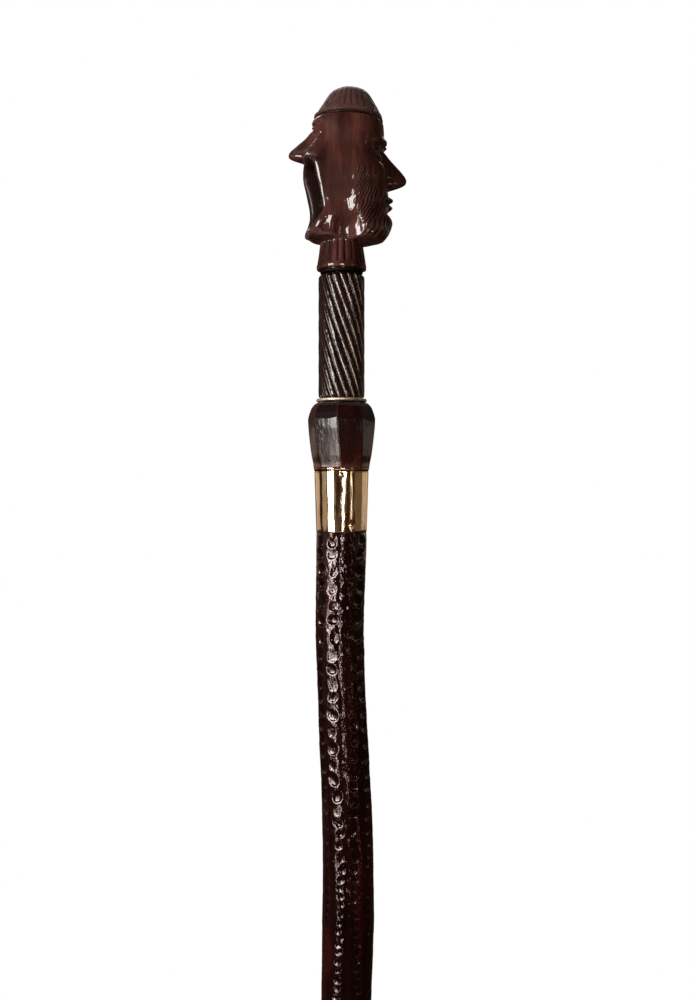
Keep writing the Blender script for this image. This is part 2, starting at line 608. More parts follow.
def cap_field(x, y, z):
    """The reeded cap with its rolled lip and domed crown."""
    rise = np.maximum(z - BRIM, 0)
    over_brim = brim_rise(x, z)
    ahead = x - HEAD_MIDDLE - CAP_SHIFT - CAP_LEAN * rise
    radius = np.hypot(ahead, y)
    side = (radius - CAP_SIDE_RADIUS + CAP_SIDE_LEAN * rise) * math.cos(math.atan(CAP_SIDE_LEAN))
    crown = z - CROWN + CAP_CROWN_DROP + radius ** 2 / (2 * CAP_CROWN_CURVE)
    fade = ramp(over_brim, *CAP_GROOVE_FOOT) * ramp(radius, *CAP_GROOVE_ENDS)
    cap = smooth_max(side, crown, 0.0020) + CAP_GROOVE_DEPTH * reed(np.arctan2(y, ahead), CAP_REEDS) * fade
    cap = cap + 0.00030 * bell(over_brim - LIP_RISE - 0.0012, 0.00035)
    cap = smooth_max(cap, LIP_RISE - over_brim - LIP_BEAD, 0.0004)
    lip = np.hypot(radius - (LIP_RADIUS - LIP_BEAD), over_brim - LIP_RISE) - LIP_BEAD
    return smooth_min(cap, lip, 0.0005)


def neck_field(x, y, z):
    rise = z - NECK_FOOT
    neck = np.hypot(x, y) - np.interp(rise, *zip(*NECK_PROFILE))
    neck = neck + NECK_GROOVE_DEPTH * reed(np.arctan2(y, x), NECK_REEDS) * ramp(rise, *NECK_GROOVE_FOOT)
    neck = smooth_max(neck, -rise, 0.0004)
    return smooth_max(neck, rise - NECK_PROFILE[-1][0], 0.0010)


def cavity_field(x, y, z):
    """The nut cavity, a rounded box open to the -X side; negative inside it."""
    along = x * math.cos(CAVITY_YAW) + y * math.sin(CAVITY_YAW)
    across = -x * math.sin(CAVITY_YAW) + y * math.cos(CAVITY_YAW)
    sides = ((along, -0.040, CAVITY_BACK), (across, -CAVITY_WIDTH / 2, CAVITY_WIDTH / 2),
             (z, CAVITY_FLOOR, CAVITY_FLOOR + CAVITY_HEIGHT))
    past = [np.abs(place - (low + high) / 2) - (high - low) / 2 + CAVITY_ROUNDING
            for place, low, high in sides]
    outside = np.sqrt(sum(np.maximum(part, 0) ** 2 for part in past))
    return outside + np.minimum(np.maximum.reduce(past), 0) - CAVITY_ROUNDING


def cheek_cut(x, y, z):
    """What the cheeks lack beside the cavity, seen from the side a C-shaped edge; negative inside it."""
    along = x * math.cos(CHEEK_YAW) + y * math.sin(CHEEK_YAW)
    along = along + smooth_through(NEAR_CHEEK, z - NECK_FOOT) * ramp(-y, 0.0040, 0.0100)
    return (along - smooth_through(CHEEK_EDGE, z - NECK_FOOT)) * 0.8


def bores_field(x, y, z):
    """The throat, the bush's stepped seat and the two pin holes; negative inside them."""
    radius = np.hypot(x, y)
    rise = z - NECK_FOOT
    throat = np.maximum(radius - THROAT_RADIUS, z - CAVITY_FLOOR - CAVITY_ROUNDING)
    seat = np.maximum(radius - BUSH_SEAT_RADIUS, z - BUSH_TOP - GAP)
    flange = np.maximum(radius - FLANGE_SEAT_RADIUS, rise - FLANGE_SEAT_RISE)
    pins = np.maximum(np.hypot(y, rise - BUSH_PIN_RISE) - BUSH_PIN_HOLE, -np.abs(x) + BUSH_SEAT_RADIUS - GAP)
    return np.minimum.reduce([throat, seat, flange, pins])


def head_field(x, y, z):
    mouth = smooth_min(cavity_field(x, y, z), cheek_cut(x, y, z), 0.0020)
    solid = block_field(x, y, z)
    solid = smooth_max(solid, -nostrils(x, y, z, 1.0, 0.0262, 0.0226), 0.0004)
    solid = smooth_max(solid, -nostrils(x, y, z, -1.0, 0.0399, 0.0222), 0.0004)
    solid = smooth_max(solid, -hollow_field(x, y, z), 0.0014)
    solid = solid - 0.00085 * bell(mouth - 0.0015, 0.0013) * (mouth > -0.003)
    solid = smooth_min(solid, cap_field(x, y, z), 0.0003)
    solid = smooth_min(solid, neck_field(x, y, z), 0.0005)
    solid = solid + 0.00009 * hand_wobble(x, y, z, 0.0065, 5)
    solid = solid + 0.00010 * hand_wobble(x, y, z * 0.45, 0.0034, 6)
    solid = smooth_max(solid, -mouth, 0.0010)
    return smooth_max(solid, -bores_field(x, y, z), 0.00025)


# Materials

class Graph:
    """Short ways to add nodes to one material or world."""

    def __init__(self, owner):
        owner.use_nodes = True
        self.owner, self.nodes, self.links = owner, owner.node_tree.nodes, owner.node_tree.links
        self.place = self.add("TexCoord", "Object", {})

    def feed(self, socket, value):
        """Links a socket to another node's output, or sets it to a number, vector or colour."""
        if isinstance(value, bpy.types.NodeSocket):
            self.links.new(value, socket)
        elif socket.type == "RGBA":
            socket.default_value = (*value, 1.0)
        else:
            socket.default_value = value

    def add(self, kind, output, inputs, **settings):
        """Adds a node with its settings and inputs, and gives one of its outputs."""
        node = self.nodes.new("ShaderNode" + kind)
        for name, value in settings.items():
            setattr(node, name, value)
        for name, value in inputs.items():
            self.feed(node.inputs[name], value)
        return node.outputs[output]

    def noise(self, scale, stretch=(1, 1, 1), detail=4.0, roughness=0.55, distortion=0.0):
        place = self.add("Mapping", "Vector", {"Vector": self.place, "Scale": stretch})
        return self.add("TexNoise", "Fac", {"Vector": place, "Scale": scale, "Detail": detail,
                                            "Roughness": roughness, "Distortion": distortion})

    def attribute(self, name, low, high, to_low=0.0, to_high=1.0):
        """A number kept on the points, spread to another range."""
        return self.span(self.add("Attribute", "Fac", {}, attribute_name=name), low, high, to_low, to_high)

    def span(self, value, low, high, to_low=0.0, to_high=1.0, **settings):
        return self.add("MapRange", "Result", {"Value": value, "From Min": low, "From Max": high,
                                               "To Min": to_low, "To Max": to_high}, **settings)

    def math(self, operation, a, b):
        return self.add("Math", "Value", {0: a, 1: b}, operation=operation)

    def ramp(self, value, stops):
        node = self.nodes.new("ShaderNodeValToRGB")
        band = node.color_ramp
        while len(band.elements) < len(stops):
            band.elements.new(0.5)
        for element, (at, colour) in zip(band.elements, stops):
            element.position = at
            element.color = (*colour, 1.0)
        self.feed(node.inputs["Fac"], value)
        return node.outputs["Color"]

    def mix(self, share, a, b):
        return self.add("Mix", 2, {0: share, 6: a, 7: b}, data_type="RGBA")

    def bump(self, height, distance, strength, under=None):
        inputs = {"Height": height, "Distance": distance, "Strength": strength}
        if under is not None:
            inputs["Normal"] = under
        return self.add("Bump", "Normal", inputs)

    def finish(self, **values):
        """Sets or links the shader's sockets, whose names have _ for a space here."""
        shader = self.nodes["Principled BSDF"]
        for name, value in values.items():
            self.feed(shader.inputs[name.replace("_", " ")], value)
        return self.owner


def material_graph(name):
    return Graph(bpy.data.materials.new(name))


def dimmed(colour, share):
    return tuple(part * share for part in colour)


def varnished_wood(name, dark, body, light, worn, wear_from, coat, coat_roughness, specular=0.12, striae=0.0):
    """Dark varnished wood with upright grain, rubbed pale on its ridges and dark in its hollows."""
    g = material_graph(name)
    grain = g.noise(260.0, (1, 1, 0.07), 6.0, 0.62, 0.4)
    broad = g.noise(80.0, (1, 1, 0.45), 4.0)
    pores = g.noise(900.0, (1, 1, 0.05), 3.0, 0.7)
    tone = g.math("ADD", g.math("MULTIPLY", grain, 0.42), g.math("MULTIPLY", broad, 0.58))
    colour = g.ramp(tone, [(0.38, dark), (0.50, body), (0.61, light)])
    colour = g.mix(g.span(pores, 0.54, 0.72, 0.0, 0.45), colour, dimmed(dark, 0.5))
    patchy = g.span(g.noise(160.0, (1, 1, 1), 3.0), 0.35, 0.65, 0.45, 1.0)
    colour = g.mix(g.math("MULTIPLY", g.attribute("wear", wear_from, 1.0), patchy), colour, worn)
    dusty = tuple(part * 1.15 + 0.034 for part in body)
    colour = g.mix(g.attribute("matt", 0.0, 1.0, 0.0, 0.45), colour, dusty)
    colour = g.mix(g.attribute("hollow", 0.10, 0.8, 0.0, 0.90), colour, dimmed(dark, 0.10))
    colour = g.mix(g.attribute("raw", 0.0, 1.0, 0.0, 0.85), colour, dimmed(dark, 0.4))
    ripple = g.bump(g.noise(150.0, (1, 1, 0.6), 2.0), 0.0010, 0.40)
    if striae:
        ripple = g.bump(g.noise(700.0, (1, 1, 0.22), 3.0, 0.6), striae, 0.5, ripple)
    roughness = g.span(g.noise(120.0, (1, 1, 0.3), 4.0), 0.3, 0.7, 0.35, 0.55)
    normal = g.bump(broad, 0.0004, 0.25, g.bump(pores, 0.00006, 0.35))
    varnish = g.attribute("matt", 0.0, 1.0, coat, 0.08 * coat)
    return g.finish(Base_Color=colour, Roughness=roughness, Normal=normal, Specular_IOR_Level=specular,
                    Coat_Weight=varnish, Coat_Roughness=coat_roughness, Coat_IOR=1.5, Coat_Normal=ripple)


def carved_mahogany():
    return varnished_wood("carved_mahogany_grain", (0.023, 0.0066, 0.0050), (0.056, 0.0165, 0.0125),
                          (0.104, 0.033, 0.0245), (0.40, 0.090, 0.030), 0.30, 0.95, 0.07)


def knop_mahogany():
    return varnished_wood("knop_mahogany", (0.0050, 0.0014, 0.0012), (0.0105, 0.0026, 0.0020),
                          (0.030, 0.0060, 0.0040), (0.11, 0.030, 0.020), 0.35, 0.6, 0.15, 0.08, 0.00022)


def ebonised():
    """Black-brown wood, rubbed pale along the ridges of its strands."""
    g = material_graph("ebonised_ridges")
    grain = g.noise(300.0, (1, 1, 0.10), 5.0, 0.6, 0.3)
    colour = g.ramp(grain, [(0.35, (0.0045, 0.0014, 0.0011)), (0.70, (0.024, 0.0090, 0.0070))])
    patchy = g.span(g.noise(260.0, (1, 1, 0.4), 4.0), 0.36, 0.60)
    colour = g.mix(g.math("MULTIPLY", g.attribute("wear", 0.25, 0.85), patchy), colour, (0.42, 0.31, 0.23))
    colour = g.mix(g.attribute("hollow", 0.1, 0.7, 0.0, 0.9), colour, (0.0020, 0.0014, 0.0012))
    roughness = g.span(g.noise(150.0, (1, 1, 0.4), 4.0), 0.3, 0.7, 0.32, 0.52)
    return g.finish(Base_Color=colour, Roughness=roughness,
                    Normal=g.bump(g.noise(700.0, (1, 1, 0.25), 4.0), 0.00012, 0.6), Specular_IOR_Level=0.08,
                    Coat_Weight=0.8, Coat_Roughness=0.08,
                    Coat_Normal=g.bump(g.noise(380.0, (1, 1, 0.5), 3.0, 0.6), 0.0007, 0.5))


def stick_lacquer():
    """Glossy burgundy lacquer with lumps and a fine crackle, thin on the ridges between the gouges."""
    g = material_graph("burgundy_lacquer")
    grain = g.noise(210.0, (1, 1, 0.05), 5.0, 0.6, 0.5)
    colour = g.ramp(grain, [(0.36, (0.0018, 0.0006, 0.0004)), (0.54, (0.0062, 0.0015, 0.0016)),
                            (0.74, (0.027, 0.0056, 0.0060))])
    broad = g.span(g.noise(42.0, (1, 1, 0.4), 3.0), 0.50, 0.68, 0.0, 0.7)
    colour = g.mix(broad, colour, (0.036, 0.0050, 0.0058))
    colour = g.mix(g.attribute("wear", 0.30, 1.0, 0.0, 0.40), colour, (0.17, 0.040, 0.030))
    colour = g.mix(g.attribute("hollow", 0.15, 0.9, 0.0, 0.85), colour, (0.0012, 0.0006, 0.0005))
    lumps = g.bump(g.noise(200.0, (1, 1, 0.60), 3.0), 0.0012, 0.6)
    roughness = g.span(g.noise(180.0, (1, 1, 0.3), 4.0), 0.3, 0.7, 0.18, 0.34)
    return g.finish(Base_Color=colour, Roughness=roughness,
                    Normal=g.bump(g.noise(420.0, (1, 1, 0.12), 5.0, 0.6), 0.00016, 0.5),
                    Specular_IOR_Level=0.12, Specular_Tint=(1.0, 0.30, 0.24),
                    Coat_Weight=1.0, Coat_Roughness=0.04,
                    Coat_Normal=g.bump(g.noise(700.0, (1, 1, 0.35), 2.0, 0.5), 0.00022, 0.5, lumps))


def polished_metal(name, pale, deep, smooth, streak=0.16):
    """Old polished metal: tarnish in patches, fine rubbing marks and shallow dents."""
    g = material_graph(name)
    tarnish = g.noise(170.0, (1, 1, 0.5), 5.0, 0.6)
    colour = g.ramp(tarnish, [(0.36, deep), (0.60, pale)])
    colour = g.mix(g.attribute("hollow", 0.2, 0.9, 0.0, 0.7), colour, dimmed(deep, 0.25))
    marks = g.noise(600.0, (1, 1, 0.08), 4.0, 0.7)
    roughness = g.span(g.math("MULTIPLY", marks, tarnish), 0.16, 0.40, smooth, smooth + streak)
    streaks = g.bump(g.noise(420.0, (1, 1, 0.03), 2.0), 0.00016, 0.6)
    dents = g.bump(g.noise(130.0, (1, 1, 0.22), 3.0), 0.0010, 0.35, streaks)
    normal = g.bump(marks, 0.00003, 0.3, dents)
    return g.finish(Base_Color=colour, Roughness=roughness, Normal=normal, Metallic=1.0)


def plain_finish(name, colours, stops, patches, rough_noise, rough, bump, **values):
    """Uneven patches, uneven roughness and a fine bump; each noise is given by what noise() takes."""
    g = material_graph(name)
    return g.finish(Base_Color=g.ramp(g.noise(*patches), list(zip(stops, colours))),
                    Roughness=g.span(g.noise(*rough_noise), 0.3, 0.7, *rough),
                    Normal=g.bump(g.noise(*bump[0]), *bump[1:]), **values)


def plain_metal(name, colour, rust):
    return plain_finish(name, (rust, colour), (0.40, 0.62), (240.0, (1, 1, 1), 5.0, 0.65), (400.0,),
                        (0.22, 0.48), ((900.0,), 0.00005, 0.5), Metallic=1.0)


def dark_horn():
    return plain_finish("dark_horn", ((0.002, 0.001, 0.001), (0.006, 0.003, 0.002)), (0.35, 0.70),
                        (300.0, (1, 1, 3), 5.0), (200.0,), (0.6, 0.8), ((700.0,), 0.00006, 0.4),
                        Specular_IOR_Level=0.1)


def pale_floor():
    return plain_finish("pale_floor", ((0.80, 0.79, 0.77), (0.87, 0.865, 0.85)), (0.30, 0.70),
                        (9.0, (1, 1, 1), 6.0), (30.0,), (0.6, 0.8), ((180.0, (1, 1, 1), 6.0), 0.0008, 0.25))


# Pieces

def paint(obj, material):
    obj.data.materials.clear()
    obj.data.materials.append(material)


def dress(obj, material, node, body="cane"):
    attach(obj, body)
    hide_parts(node)
    paint(obj, material)


def paint_node(node, material):
    """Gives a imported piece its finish."""
    paint(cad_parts[node], material)


def make_head():
    low = (-0.0285, -0.0190, NECK_FOOT - 0.0008)
    high = (0.0340, 0.0190, CROWN + 0.0012)
    head = net_surface("carved_head_detail", head_field, low, high, HEAD_STEP)
    thinned(head, HEAD_TRIANGLES)
    mark_relief(head, 50, 0.00110)
    broad = read_numbers(head, "wear")
    mark_relief(head, 14, 0.00050)
    x, y, z = positions(head).T
    over_brim = brim_rise(x, z)
    cavity, cheek = cavity_field(x, y, z), cheek_cut(x, y, z)
    far_edge = ramp(-np.abs(np.minimum(cavity, cheek) - 0.0006), -0.0022, -0.0010) * ramp(y, 0.0, 0.0030)
    number_points(head, "matt", np.maximum(ramp(over_brim, -0.0026, -0.0016), 0.8 * far_edge))
    wear = np.maximum(broad, 0.6 * read_numbers(head, "wear"))
    number_points(head, "wear", wear * ramp(z, NECK_FOOT + 0.0020, NECK_FOOT + 0.0060))
    beard_lines = 0.9 * beard_strands(x - HEAD_MIDDLE, np.abs(y), z - HEAD_FOOT) * (z > HEAD_FOOT)
    cap_turn = np.arctan2(y, x - HEAD_MIDDLE - CAP_SHIFT - CAP_LEAN * (z - BRIM))
    cap_lines = 0.34 * reed(cap_turn, CAP_REEDS) * ramp(over_brim, *CAP_GROOVE_FOOT)
    cap_lines = np.maximum(cap_lines * ramp(-z, -CROWN + 0.0030, -CROWN + 0.0042),
                           0.90 * ramp(z, CROWN - 0.0038, CROWN - 0.0026))
    neck_lines = 0.6 * reed(np.arctan2(y, x), NECK_REEDS) * ramp(z, NECK_FOOT + 0.0024, NECK_FOOT + 0.0036)
    on_neck = (z < HEAD_FOOT) & (np.hypot(x, y) > FLANGE_SEAT_RADIUS)
    lines = np.select([on_neck, over_brim > 0], [neck_lines, cap_lines], beard_lines)
    lip_shade = bell(over_brim + UNDERCUT_DROP + 0.0002, 0.0008) * (np.hypot(x - HEAD_MIDDLE, y) < 0.0185)
    number_points(head, "hollow", np.maximum.reduce([lines, 0.9 * lip_shade, 0.55 * far_edge,
                                                     read_numbers(head, "hollow")]))
    number_points(head, "raw", ramp(-np.minimum(cavity, 0.9 * cheek), -0.0003, 0.0002))
    dress(head, carved_mahogany(), "carved_head", "head")


def stick_gouges(turn, height, radius):
    """Depth of the thumbnail gouges in their wandering upright rows, as a share of the deepest."""
    draw = np.random.default_rng(11)
    depth = np.zeros(turn.shape)
    low, high = height.min(), height.max()
    for column_turn in GOUGE_TURNS:
        centre = high - draw.uniform(0.002, GOUGE_PITCH)
        sway = draw.uniform(0, 2 * math.pi)
        while centre > low:
            wander = 0.09 * math.sin(centre / 0.021 + sway) + draw.uniform(-0.07, 0.07)
            lean = math.radians(column_turn - 90) + wander
            size = 1.0 - GOUGE_SHRINK * ramp(high - centre, *GOUGE_SHRINK_RANGE)
            half_turn = GOUGE_HALF_WIDTH / radius * size * draw.uniform(0.7, 1.15)
            tall = GOUGE_HALF_HEIGHT * size * draw.uniform(0.7, 1.15)
            strength = size * draw.uniform(0.45, 1.1)
            if column_turn == PLAIN_TURN:
                strength *= 0.25 + 0.75 * ramp(high - centre, *PLAIN_RANGE)
            rows = np.nonzero(np.abs(height[:, 0] - centre) < tall * 1.6)[0]
            if len(rows):
                part = slice(rows[0], rows[-1] + 1)
                along = (height[part] - centre) / tall
                across = ((turn[part] - lean + math.pi) % (2 * math.pi) - math.pi) / half_turn
                across = across + draw.uniform(-0.25, 0.25) * along
                inside = 1 - np.abs(across) ** 2.2 - np.abs(along) ** 2.4
                cut = np.maximum(inside, 0) ** 0.75 * (0.80 - 0.45 * along)
                rim = 0.20 * bell(inside + 0.16, 0.20) * (0.6 - 0.4 * along)
                depth[part] = np.where(inside > 0, np.maximum(depth[part], strength * cut),
                                       depth[part] - rim * strength)
            centre -= GOUGE_PITCH * size * draw.uniform(0.8, 1.2)
    return depth


def make_stick():
    top, foot = COLLAR_FOOT + 0.0015, FERRULE_TOP - 0.0015
    middle = COLLAR_FOOT - STICK_LOW_PART
    coarse = 1.0
    heights = np.concatenate([np.arange(foot, middle, STICK_LOW_ROW * coarse),
                              np.arange(middle, top, STICK_ROW * coarse)])
    below = COLLAR_FOOT - heights
    length = COLLAR_FOOT - FERRULE_TOP
    radius = smooth_through([(0.0, STICK_TOP_RADIUS)] + STICK_SWELLS + [(length, STICK_FOOT_RADIUS)], below)
    bend = smooth_through([(0.0, 0.0)] + STICK_BENDS + [(length, 0.0)], below)
    angles = around(STICK_COLUMNS)
    turn, height = np.meshgrid(angles, heights)
    radii = np.repeat(radius[:, None], STICK_COLUMNS, axis=1)
    side, front = np.cos(turn) * radii, np.sin(turn) * radii
    for depth, stretch, size, seed in STICK_WAVES:
        radii = radii + depth * hand_wobble(side, front, height * stretch, size, seed)
    covered = ramp(heights, middle - 0.004, middle + 0.020)
    covered = covered * ramp(-heights, -COLLAR_FOOT - 0.0001, -COLLAR_FOOT + 0.006)
    radii = radii - GOUGE_DEPTH * stick_gouges(turn, height, STICK_TOP_RADIUS) * covered[:, None]
    radii[-2:] = min(COLLAR_FOOT_RADIUS, radius[-1]) - COLLAR_WALL - GAP
    heights[-2] = COLLAR_FOOT + 0.0001
    radii[:2] = FERRULE_RADIUS - 0.0016
    heights[1] = FERRULE_TOP - 0.0001
    stick = tube("lacquered_stick", rings_of(radii, heights, angles, bend))
    mark_relief(stick, 14, 0.00040)
    tucked = 1 - ramp(positions(stick)[:, 2], COLLAR_FOOT - 0.0012, COLLAR_FOOT - 0.0004)
    number_points(stick, "wear", read_numbers(stick, "wear") * tucked)
    dress(stick, stick_lacquer(), "stick")


def collar_nails():
    """Angle and height of the collar's two nails."""
    front = -math.pi / 2
    return {"upper": (front, COLLAR_TOP - PIN_INSET),
            "lower": (front + PIN_LOWER_TURN, COLLAR_FOOT + PIN_INSET)}


def make_brass_collar(material):
    low, high, rim = COLLAR_FOOT, COLLAR_TOP, COLLAR_RIM
    inner = [(COLLAR_BORE, high), (COLLAR_BORE, low), (COLLAR_FOOT_RADIUS, low)]
    rows = 46
    wall = [(COLLAR_FOOT_RADIUS + (COLLAR_RADIUS - 0.00035 - COLLAR_FOOT_RADIUS) * k / rows,
             low + (high - low - rim * 2.4) * k / rows) for k in range(1, rows)]
    bead = arc((COLLAR_RADIUS - rim, high - rim), rim, math.radians(-70), math.radians(90), 9)
    collar = turned("polished_collar", [inner[0]] + rounded(inner, 0.0003)[5:15] + wall + bead, 144, True)
    points = positions(collar)
    x, y, z = points.T
    turn, radius = np.arctan2(y, x), np.hypot(x, y)
    face = ramp(radius, COLLAR_FOOT_RADIUS - 0.0004, COLLAR_FOOT_RADIUS - 0.0001)
    dent = 0.00006 * hand_wobble(np.cos(turn) * 0.013, np.sin(turn) * 0.013, z * 0.3, 0.007, 9)
    for at_turn, at_height in collar_nails().values():
        dent = dent - 0.00022 * bell(np.hypot((turn - at_turn) * 0.013, z - at_height), 0.0017)
    points[:, :2] *= (1 + dent * face / radius)[:, None]
    collar.data.vertices.foreach_set("co", points.astype(np.float32).ravel())
    collar.data.update()
    mark_relief(collar, 3, 0.0001)
    dress(collar, material, "collar")


def nail_head(name, node, turn, height, surface, material):
    """A small domed head with its shank, driven level into the metal."""
    shank, wide, rim, dome = 0.0006, PIN_HEAD_RADIUS, 0.00008, 0.00050
    profile = [(shank, -0.0045), (shank, -0.0001), (wide, -0.0001), (wide, rim)]
    profile += arc((0.0, rim), wide, 0.2, math.radians(84), 7, dome / wide)
    nail = turned(name, profile, 28)
    out = Vector((math.cos(turn), math.sin(turn), 0))
    nail.rotation_mode = "QUATERNION"
    nail.rotation_quaternion = Vector((0, 0, 1)).rotation_difference(out)
    nail.location = out * surface + Vector((0, 0, height))
    mark_relief(nail, 2, 0.0001)
    dress(nail, material, node)


def make_nails(brass):
    slope = (COLLAR_RADIUS - COLLAR_FOOT_RADIUS) / (COLLAR_TOP - COLLAR_FOOT)
    for place, (turn, height) in collar_nails().items():
        surface = COLLAR_FOOT_RADIUS + slope * (height - COLLAR_FOOT) - 0.0003
        nail_head("collar_nail_" + place, "collar_pin_" + place, turn, height, surface, brass)
    low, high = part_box("ferrule_pin_right")
    height, surface = (low.z + high.z) / 2, high.x - 0.0004
    for side, turn in (("right", 0.0), ("left", math.pi)):
        nail_head("ferrule_nail_" + side, "ferrule_pin_" + side, turn, height, surface, brass)


def from_facet_middle(turn):
    """Angle from the middle of the knop's nearest facet."""
    return turn % (2 * math.pi / KNOP_SIDES) - math.pi / KNOP_SIDES


def octagon_share(turn, bulge):
    """Radius at an angle over the radius at a corner, for a swollen eight-sided section."""
    flat = math.cos(math.pi / KNOP_SIDES) / np.cos(from_facet_middle(turn))
    return flat + (1 - flat) * bulge


def make_faceted_knop():
    """Eight body facets and eight shoulder facets that meet in dipping edges."""
    foot = COLLAR_TOP + GAP
    tall = KNOP_TOP - foot
    angles = around(KNOP_SIDES * 20)
    swollen, flat = octagon_share(angles, KNOP_BULGE), octagon_share(angles, 0.0)
    fine = np.linspace(0.0, tall, 500)[:, None]
    body = smooth_through(KNOP_BODY, fine) * swollen
    shoulder = np.interp(fine, *zip(*KNOP_SHOULDER)) * flat
    edge = fine[np.argmax((body > shoulder) & (fine > 0.012), axis=0), 0]
    lower = edge * np.linspace(0, 1, 27)[:, None]
    upper = edge + (tall - edge) * np.linspace(0, 1, 15)[1:, None]
    row = np.ones((1, len(angles)))
    rise = np.concatenate([row * -GAP * 1.5, row * -GAP * 1.5, lower, upper, row * tall])
    radii = np.concatenate([row * (COLLAR_BORE - GAP), row * KNOP_BODY[0][1] * swollen,
                            smooth_through(KNOP_BODY, lower) * swollen,
                            np.interp(upper, *zip(*KNOP_SHOULDER)) * flat, row * (RING_RADIUS - 0.0040)])
    lean = angles + KNOP_LEAN * np.minimum(rise / KNOP_LEAN_HEIGHT, 1.0)
    knop = tube("faceted_knop", np.stack([radii * np.cos(lean), radii * np.sin(lean), foot + rise], axis=-1))
    bevel = knop.modifiers.new("worn_edges", "BEVEL")
    bevel.width = 0.00042
    bevel.segments = 3
    bevel.limit_method = "ANGLE"
    bevel.angle_limit = math.radians(9.5)
    bevel.harden_normals = False
    applied(knop)
    knop.data.set_sharp_from_angle(angle=math.radians(20))
    x, y, z = positions(knop).T
    turn = np.arctan2(y, x) - KNOP_LEAN * np.clip((z - foot) / KNOP_LEAN_HEIGHT, 0, 1)
    edges = ramp(np.abs(from_facet_middle(turn)) * KNOP_SIDES / math.pi, 0.95, 0.99)
    number_points(knop, "wear", np.maximum(edges, 0.75 * ramp(foot + 0.0040 - z, 0.0, 0.0040)))
    dress(knop, knop_mahogany(), "knop")


def make_pale_ring(material):
    low, high, bead, bore = RING_FOOT - GAP, RING_TOP + GAP, 0.0006, 0.0040
    profile = [(bore, high), (bore, low)] + arc((RING_RADIUS - bead, (low + high) / 2), bead,
                                                -math.pi / 2, math.pi / 2, 11, (high - low) * 0.36 / bead)
    ring = turned("pale_ring", profile, 96, True)
    mark_relief(ring, 2, 0.0002)
    dress(ring, material, "spacer_ring")


def make_twisted_grip():
    rows = 170
    top = GRIP_TOP - GRIP_TOP_DROP
    heights = np.linspace(GRIP_FOOT, top, rows)
    angles = around(GRIP_STRANDS * 16)
    across = (angles * GRIP_STRANDS / (2 * math.pi)) % 1.0 * 2 - 1
    lobe = (1 - np.abs(across) ** 2.6) ** 0.62
    turn, height = np.meshgrid(angles, heights)
    spiral = turn + GRIP_TWIST_PER_M * (height - GRIP_FOOT)
    side, front = np.cos(spiral), np.sin(spiral)
    radii = GRIP_RADIUS - GRIP_GROOVE * (1 - lobe)
    radii = radii + 0.00006 * hand_wobble(side * GRIP_RADIUS, front * GRIP_RADIUS, height, 0.0045, 21)
    radii = radii - 0.0007 * (1 - ramp(np.minimum(height - GRIP_FOOT, top - height), 0.0, 0.0010))
    grip = tube("twisted_grip", np.stack([radii * side, radii * front, height], axis=-1))
    edge = bell(across + 0.58, 0.17) + 0.25 * bell(across - 0.62, 0.15)
    number_points(grip, "wear", np.tile(edge, rows))
    number_points(grip, "hollow", np.tile(ramp(np.abs(across), 0.80, 1.0), rows))
    dress(grip, ebonised(), "twist_grip")


def thread_radii(heights, angles, crest, flank):
    """Radii of the right-handed thread; crest and flank end at these distances from the crest's middle."""
    turn, height = np.meshgrid(angles, heights)
    phase = ((height - SCREW_FOOT) / SCREW_PITCH - turn / (2 * math.pi)) % 1.0
    from_crest = np.abs(phase - np.round(phase)) * SCREW_PITCH
    rise = 1 - ramp(from_crest, crest, flank)
    return SCREW_ROOT_RADIUS + (SCREW_CREST_RADIUS - SCREW_ROOT_RADIUS) * rise


def make_fine_screw(material):
    """The press screw's thread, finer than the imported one, with its tang below."""
    heights = np.arange(SCREW_FOOT, SCREW_TIP - GAP / 4, 0.00016)
    angles = around(80)
    radii = thread_radii(heights, angles, SCREW_CREST_HALF * 0.8, SCREW_CREST_HALF + SCREW_FLANK * 1.1)
    taper = np.maximum(heights - (SCREW_TIP - 0.0016), 0)[:, None]
    radii = np.minimum(radii, SCREW_CREST_RADIUS - taper * 0.85)
    tang = rings_of(TANG_RADIUS, [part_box("press_screw")[0].z, SCREW_FOOT], angles)
    screw = tube("turned_screw", np.concatenate([tang, rings_of(radii, heights, angles)]))
    mark_relief(screw, 5, 0.0006)
    dress(screw, material, "press_screw")


def make_thrust_pad(material):
    """The dished pad that meets the nut, with broken edges and a ring turned into its rim."""
    foot, top = (corner.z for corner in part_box("thrust_pad"))
    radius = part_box("thrust_pad")[1].x
    ring = (radius + PAD_DISH_RADIUS) / 2
    dish = top - PAD_DISH_DEPTH
    outline = [(PAD_HOLE_RADIUS, dish), (PAD_HOLE_RADIUS, foot), (radius, foot), (radius, foot + 0.0014),
               (radius - 0.00035, foot + 0.0017), (radius - 0.00035, foot + 0.0022), (radius, foot + 0.0025),
               (radius, top - 0.0005), (radius - 0.0005, top), (ring + 0.0001, top), (ring, top - 0.00015),
               (PAD_DISH_RADIUS + 0.0004, top), (PAD_DISH_RADIUS, dish)]
    pad = turned("turned_pad", rounded(outline, 0.00008, 2), 96, True)
    pad.data.set_sharp_from_angle(angle=math.radians(35))
    mark_relief(pad, 3, 0.0003)
    dress(pad, material, "thrust_pad", "pad")


